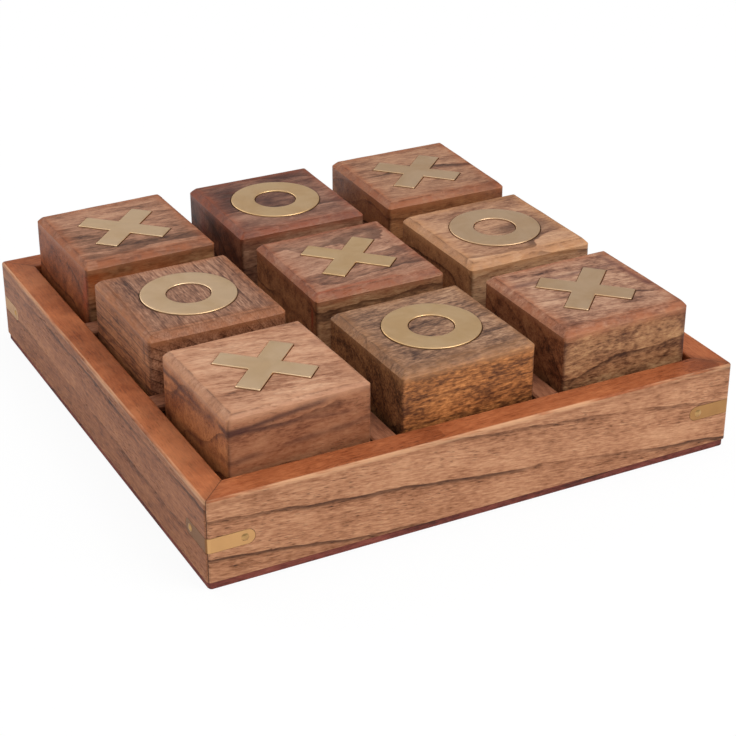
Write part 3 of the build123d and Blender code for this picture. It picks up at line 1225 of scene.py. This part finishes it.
    def _brass_figure(self) -> bpy.types.Object:
        """Return the brass plate: the figure's outline with an eased upper edge, dished a little."""
        low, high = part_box(self.figure_node)
        thick = high.z - low.z
        inset, drop = ease(self.figure_ease, self.figure_steps, 2.0)
        stack = RingStack(self.shape.angles())
        outline = self.shape.outline(stack.angles, 0.0)
        is_cross = self.plan.figure is Figure.CROSS
        if is_cross:
            stack.add(outline * self.floor_share, 0.0)
        stack.add(outline, 0.0)
        for step in range(len(inset)):
            stack.add(self.shape.outline(stack.angles, -inset[step]), thick - drop[step])
        rim = stack.distances[-1]
        if is_cross:
            for share in self.figure_shares:
                stack.add(rim * share, thick)
        else:
            inner = np.full_like(stack.angles, self.shape.ring_inner / 2)
            hole = inner + self.figure_ease
            for share in np.linspace(0, 1, self.ring_steps)[1:]:
                stack.add(rim * (1 - share) + hole * share, thick)
            for step in range(len(inset) - 2, -1, -1):
                stack.add(inner + inset[step], thick - drop[step])
            stack.add(inner, 0.0)
        poles = (0.0, thick) if is_cross else None
        made = stack.piece("brass_" + self.figure_node, poles, self.figure_soft_deg)
        points = points_of(made)
        away = self.shape.outline(np.arctan2(points[:, 1], points[:, 0]), 0.0)
        gap = np.abs(away - np.hypot(points[:, 0], points[:, 1]))
        set_attribute(made, "edge_near", fall(gap, self.figure_edge))
        dish = np.abs(hand_waves(points, self.seed + self.dish_seed, self.dish, self.dish_length))
        points[:, 2] -= dish * (points[:, 2] > thick * self.dish_above)
        set_points(made, points)
        return made


@dataclass
class GameSet:
    """All nine cubes. Their seeds are numbered on from the first one."""

    plans: dict[str, CubePlan]
    brasses: Sequence[BrassFinish]
    first_seed: int = 11

    def build(self) -> None:
        """Build every cube with its own wood and one of the brasses."""
        metals = [finish.material() for finish in self.brasses]
        for number, (place, plan) in enumerate(self.plans.items()):
            GameCube(place, plan, metals[number % len(metals)], self.first_seed + number).build()


@dataclass
class Tray:
    """The tray: rails, base panel, lattice, straps and pins, which keep their solids."""

    rail_woods: dict[str, WoodFinish]
    divider_woods: dict[str, WoodFinish]
    base_wood: WoodFinish
    strap_brasses: dict[str, BrassFinish]
    pin_brass: BrassFinish
    pin_steel: SteelFinish

    def dress(self) -> None:
        """Give every node of the tray its finish."""
        for side, wood in self.rail_woods.items():
            dress(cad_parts["rail_" + side], wood.material())
        for side, wood in self.divider_woods.items():
            dress(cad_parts["divider_" + side], wood.material())
        dress(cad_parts["base_panel"], self.base_wood.material())
        for corner, brass in self.strap_brasses.items():
            dress(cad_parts["strap_" + corner], brass.material())
        dress(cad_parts["strap_pins"], self.pin_brass.material())
        dress(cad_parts["panel_pins"], self.pin_steel.material())
        log.info("tray dressed")


@dataclass(frozen=True)
class Lamp:
    """A soft square lamp: where it hangs and its side, in metres, and its power in watts."""

    name: str
    place: Point
    size: float
    power: float


@dataclass
class Studio:
    """The pale floor, the soft lamps, the world and the camera of the photograph."""

    azimuth_deg: float = -27.445
    elevation_deg: float = 27.778
    distance: float = 0.7458
    target: Point = (0.01438, 0.01126, 0.0)
    focal_px: float = 1942.6
    image_px: float = 736.0
    sensor_mm: float = 36.0
    clip: Span = (0.01, 20.0)
    floor_half: float = 3.0
    floor_paint: float = 0.9
    floor_glow: float = 0.93
    world_level: float = 0.45
    lamp_target: Point = (0.0, 0.0, 0.02)
    lamps: tuple[Lamp, ...] = (Lamp("key", (0.55, -0.75, 1.15), 0.9, 13.0),
                               Lamp("back_fill", (-0.5, 1.1, 0.9), 1.0, 6.0),
                               Lamp("top", (0.1, 0.1, 1.5), 1.2, 6.0))

    def build(self) -> None:
        """Set up the camera, the world, the floor and the lamps."""
        self._camera()
        self._world()
        self._floor()
        for lamp in self.lamps:
            self._hang(lamp)
        bpy.context.scene.view_settings.view_transform = "Standard"

    def _camera(self) -> None:
        """Put the camera at the photograph's place."""
        data = bpy.data.cameras.new("camera")
        data.sensor_width = self.sensor_mm
        data.lens = self.focal_px / self.image_px * self.sensor_mm
        data.clip_start, data.clip_end = self.clip
        turn, rise = math.radians(self.azimuth_deg), math.radians(self.elevation_deg)
        back = Vector((math.sin(turn) * math.cos(rise), -math.cos(turn) * math.cos(rise), math.sin(rise)))
        place = Vector(self.target) + back * self.distance
        bpy.context.scene.camera = self._aim("camera", data, place, -back)

    def _aim(self, name: str, data: bpy.types.ID, place: Vector, way: Vector) -> bpy.types.Object:
        """Return a new camera or lamp that stands at a place and looks along a way."""
        made = bpy.data.objects.new(name, data)
        made.location = place
        made.rotation_mode = "QUATERNION"
        made.rotation_quaternion = way.to_track_quat("-Z", "Y")
        bpy.context.scene.collection.objects.link(made)
        return made

    def _world(self) -> None:
        """Make the world white to the eye and plain daylight grey to the object."""
        world = bpy.data.worlds.new("studio")
        bpy.context.scene.world = world
        world.use_nodes = True
        board = ShaderBoard(world.node_tree)
        seen = board.seen()
        level = seen + (1.0 - seen) * self.world_level
        shader = board.node("ShaderNodeBackground", {}, {"Color": (1.0, 1.0, 1.0), "Strength": level})
        board.node("ShaderNodeOutputWorld", {}, {"Surface": shader.outputs[0]})

    def _floor(self) -> None:
        """Lay a white floor that keeps a faint shadow."""
        half = self.floor_half
        corners = [[-half, -half, 0], [half, -half, 0], [half, half, 0], [-half, half, 0]]
        floor = mesh_piece("floor", np.array(corners, float), np.array([[0, 1, 2, 3]]))
        made, board = new_material("floor_white")
        paint = board.node("ShaderNodeBsdfDiffuse", {}, {"Color": (self.floor_paint,) * 3})
        glow = board.node("ShaderNodeEmission", {}, {"Color": (1.0, 1.0, 1.0), "Strength": 1.0})
        mixed = board.node("ShaderNodeMixShader", {}, {
            0: board.seen() * self.floor_glow, 1: paint.outputs[0], 2: glow.outputs[0]})
        board.node("ShaderNodeOutputMaterial", {}, {"Surface": mixed.outputs[0]})
        dress(floor, made)

    def _hang(self, lamp: Lamp) -> None:
        """Hang a lamp that faces the board."""
        data = bpy.data.lights.new(lamp.name, "AREA")
        data.shape = "SQUARE"
        data.size = lamp.size
        data.energy = lamp.power
        place = Vector(lamp.place)
        self._aim(lamp.name, data, place, Vector(self.lamp_target) - place)


PURPLE = srgb(78, 44, 44)
RED = srgb(134, 56, 32)
ORANGE = srgb(176, 84, 40)


def cube_plans() -> dict[str, CubePlan]:
    """Return the nine cubes by their place, each with a wood and a cut of its own."""
    # Each cube's front and left face tints are painted light and shade; its end tint is the end grain's
    # oil.
    return {
        "back_left": CubePlan(Figure.CROSS, 1.0, (1.1, 0.8, 1.0, 1.2), WoodFinish(
            "wood_back_left",
            WoodTones(srgb(192, 150, 120), srgb(158, 113, 88), srgb(112, 76, 56), srgb(156, 82, 38)),
            1.3, turn_deg=4.0, pith=(0.01, -0.07), ring_mm=11.0, lines=0.5, cloud=0.4, rim_share=0.75,
            shade_and_oil=FaceShadeAndOil((0.88, 0.86, 0.66), (1.05, 0.66, 0.38)),
            seams=(Seam((0.05, 1.0, 0.3), -21.0, 4.0, ORANGE, 0.6),))),
        "back_middle": CubePlan(Figure.RING, -0.5, (1.0, 0.8, 1.2, 1.0), WoodFinish(
            "wood_back_middle",
            WoodTones(srgb(154, 114, 94), srgb(114, 78, 62), srgb(78, 48, 40), srgb(146, 70, 38)),
            2.7, turn_deg=-3.0, pith=(0.04, -0.05), ring_mm=10.0, lines=0.6, cloud=0.8, rim_share=0.75,
            shade_and_oil=FaceShadeAndOil((1.35, 1.4, 1.25), (1.2, 1.0, 0.8)),
            seams=(Seam((0.0, 1.0, 0.0), 12.0, 5.0, RED, 0.35),))),
        "back_right": CubePlan(Figure.CROSS, -0.6, (1.0, 0.9, 1.1, 1.1), WoodFinish(
            "wood_back_right",
            WoodTones(srgb(186, 144, 112), srgb(152, 110, 84), srgb(110, 72, 52), srgb(158, 84, 42)),
            4.1, turn_deg=6.0, pith=(-0.03, -0.09), ring_mm=9.0, rim_share=0.75,
            shade_and_oil=FaceShadeAndOil((0.9, 0.72, 0.5), (1.1, 0.85, 0.6)))),
        "middle_left": CubePlan(Figure.RING, 0.3, (0.9, 0.8, 1.2, 1.2), WoodFinish(
            "wood_middle_left",
            WoodTones(srgb(176, 134, 108), srgb(136, 96, 74), srgb(92, 60, 46), srgb(168, 98, 50)),
            5.9, grain=GrainWay.ALONG_Y, pith=(0.06, -0.04), ring_mm=3.6, wander_mm=1.1, lines=0.7,
            dashes=1.1, shade_and_oil=FaceShadeAndOil((1.3, 1.25, 1.2), (1.2, 0.9, 0.56)),
            seams=(Seam((0.0, 1.0, 0.0), -21.4, 0.9, VEIN, 0.6),))),
        "centre": CubePlan(Figure.CROSS, -0.3, (1.0, 0.9, 1.1, 1.2), WoodFinish(
            "wood_centre",
            WoodTones(srgb(180, 138, 112), srgb(142, 100, 78), srgb(96, 64, 50), srgb(150, 76, 38)),
            7.2, turn_deg=-8.0, pith=(0.02, -0.04), ring_mm=12.0, wander_mm=9.0, cloud=0.6, lines=0.6,
            rim_share=0.75, shade_and_oil=FaceShadeAndOil((1.15, 1.2, 0.95), (1.4, 1.3, 0.95)),
            seams=(Seam((0.0, 1.0, 0.0), -22.4, 1.5, RED, 0.8),))),
        "middle_right": CubePlan(Figure.RING, 1.0, (1.1, 0.9, 1.2, 1.2), WoodFinish(
            "wood_middle_right",
            WoodTones(srgb(196, 154, 120), srgb(162, 120, 92), srgb(120, 80, 58), srgb(196, 136, 84)),
            8.8, turn_deg=2.0, pith=(0.02, -0.08), ring_mm=12.0, mottle=0.4,
            shade_and_oil=FaceShadeAndOil((1.15, 1.22, 1.15), (1.3, 1.2, 0.95)))),
        "front_left": CubePlan(Figure.CROSS, 1.1, (0.8, 0.8, 1.3, 0.7), WoodFinish(
            "wood_front_left",
            WoodTones(srgb(206, 162, 130), srgb(176, 128, 98), srgb(134, 86, 60), srgb(196, 138, 102)),
            10.3, turn_deg=10.0, pith=(-0.04, -0.07), ring_mm=13.0, wander_mm=7.0, lines=0.5,
            shade_and_oil=FaceShadeAndOil((0.69, 0.51, 0.40), (1.18, 0.88, 0.56)),
            seams=(Seam((-0.1, 0.0, 1.0), 21.6, 1.8, PURPLE, 0.9),
                   Seam((0.06, 0.1, 1.0), 15.0, 1.6, PURPLE, 0.6),
                   Seam((-0.08, 0.1, 1.0), 8.0, 2.2, PURPLE, 0.55),
                   Seam((0.05, 0.1, 1.0), -3.0, 2.0, PURPLE, 0.5)))),
        "front_middle": CubePlan(Figure.RING, 1.1, (1.1, 1.0, 1.2, 1.2), WoodFinish(
            "wood_front_middle",
            WoodTones(srgb(176, 138, 108), srgb(134, 98, 74), srgb(88, 62, 48), srgb(160, 108, 64)),
            11.9, turn_deg=-5.0, pith=(0.03, -0.05), ring_mm=11.0, wander_mm=9.0, mottle=0.75,
            cloud=0.5, lines=0.4, streak=0.55, dashes=0.8,
            shade_and_oil=FaceShadeAndOil((1.75, 1.25, 0.66), (1.4, 1.3, 1.0)))),
        "front_right": CubePlan(Figure.CROSS, 1.0, (0.8, 1.0, 1.3, 1.2), WoodFinish(
            "wood_front_right",
            WoodTones(srgb(190, 150, 122), srgb(154, 112, 88), srgb(106, 70, 54), srgb(166, 92, 50)),
            13.4, turn_deg=7.0, pith=(0.05, -0.04), ring_mm=10.0, wander_mm=8.0, mottle=0.6,
            cloud=0.7, lines=0.55, rim_share=0.7,
            shade_and_oil=FaceShadeAndOil((1.15, 1.1, 0.82), (1.08, 0.84, 0.6)),
            seams=(Seam((1.0, 0.12, 0.0), 22.0, 2.4, PURPLE, 0.85),
                   Seam((0.0, 1.0, 0.3), 20.0, 2.4, PURPLE, 0.6))))}


def grain_of(side: str) -> GrainWay:
    """Return the way of the grain of the rail or divider at a side."""
    return GrainWay.ALONG_X if side in ("front", "back") else GrainWay.ALONG_Y


def rail_woods() -> dict[str, WoodFinish]:
    """Return the rails' woods by side. The left one is another board."""
    tan = WoodTones(srgb(206, 154, 116), srgb(178, 124, 90), srgb(144, 94, 64), srgb(190, 120, 80))
    brown = WoodTones(srgb(184, 126, 88), srgb(156, 100, 68), srgb(126, 76, 50), srgb(160, 110, 90))
    woods = {}
    for number, side in enumerate(("front", "right", "back", "left")):
        tones, top = (brown, srgb(204, 130, 84)) if side == "left" else (tan, srgb(144, 72, 37))
        woods[side] = RailFinish(
            "wood_rail_" + side, tones, seed=20.0 + 1.7 * number, centre=middle_of("rail_" + side),
            grain=grain_of(side), tilt_deg=-6.3 if side == "front" else 1.5, pith=(0.0, -0.2693),
            ring_mm=14.0, wander_mm=2.2, ripple=1.5, lines=0.7, band=0.24, streak=0.4, dashes=1.0,
            pores=0.55, sheen=0.16, top=top, arris=srgb(214, 164, 124))
    return woods


def divider_woods() -> dict[str, WoodFinish]:
    """Return the dividers' woods by side."""
    tones = WoodTones(srgb(158, 104, 74), srgb(124, 74, 50), srgb(86, 48, 34), srgb(150, 94, 66))
    woods = {}
    for number, side in enumerate(("front", "back", "left", "right")):
        woods[side] = WoodFinish(
            "wood_divider_" + side, tones, seed=30.0 + 1.9 * number, grain=grain_of(side),
            centre=middle_of("divider_" + side), turn_deg=0.4, pith=(0.02, -0.12), wander_mm=4.0)
    return woods


def base_wood() -> WoodFinish:
    """Return the base panel's wood."""
    tones = WoodTones(srgb(158, 92, 76), srgb(134, 70, 58), srgb(104, 50, 42), srgb(96, 48, 40))
    return WoodFinish("wood_base", tones, seed=41.0, centre=(0.0, 0.0, 1.5 * MM), pith=(0.0, -0.2),
                      ring_mm=9.0, wander_mm=6.0, roughness=0.62)


def strap_brasses() -> dict[str, BrassFinish]:
    """Return the straps' brasses by corner."""
    yellow, dull, worn = srgb(204, 158, 106), srgb(174, 130, 82), srgb(190, 146, 98)
    return {
        # The front-left strap's leg on the left face is painted dark in its tarnish colour, as shade.
        "front_left": BrassFinish("brass_strap_front_left", yellow, srgb(136, 96, 62), 0.0, 0.36,
                                  tarnish_share=0.12, shaded_left_of=-99.4 * MM),
        "front_right": BrassFinish("brass_strap_front_right", dull, srgb(152, 110, 70), 0.0, 0.42),
        "back_left": BrassFinish("brass_strap_back_left", worn, srgb(140, 100, 66), 0.0, 0.42),
        "back_right": BrassFinish("brass_strap_back_right", yellow, srgb(150, 108, 70), 0.0, 0.38)}


def main() -> None:
    """Build the board and its studio."""
    logging.basicConfig(level=logging.INFO, format="%(message)s")
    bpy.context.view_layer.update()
    pin = BrassFinish("brass_pin", srgb(190, 150, 98), srgb(128, 96, 60), 0.0, 0.30)
    steel = SteelFinish("steel_pin", (0.5, 0.5, 0.5), (0.28, 0.27, 0.26))
    Tray(rail_woods(), divider_woods(), base_wood(), strap_brasses(), pin, steel).dress()
    sheets = [
        BrassFinish("brass_sheet_pale", srgb(240, 205, 164), srgb(210, 172, 124), 25.0),
        BrassFinish("brass_sheet_warm", srgb(237, 199, 150), srgb(208, 164, 108), 62.0),
        BrassFinish("brass_sheet_deep", srgb(229, 193, 154), srgb(200, 158, 112), 99.0)]
    GameSet(cube_plans(), sheets).build()
    Studio().build()


if __name__ == "__main__":
    main()
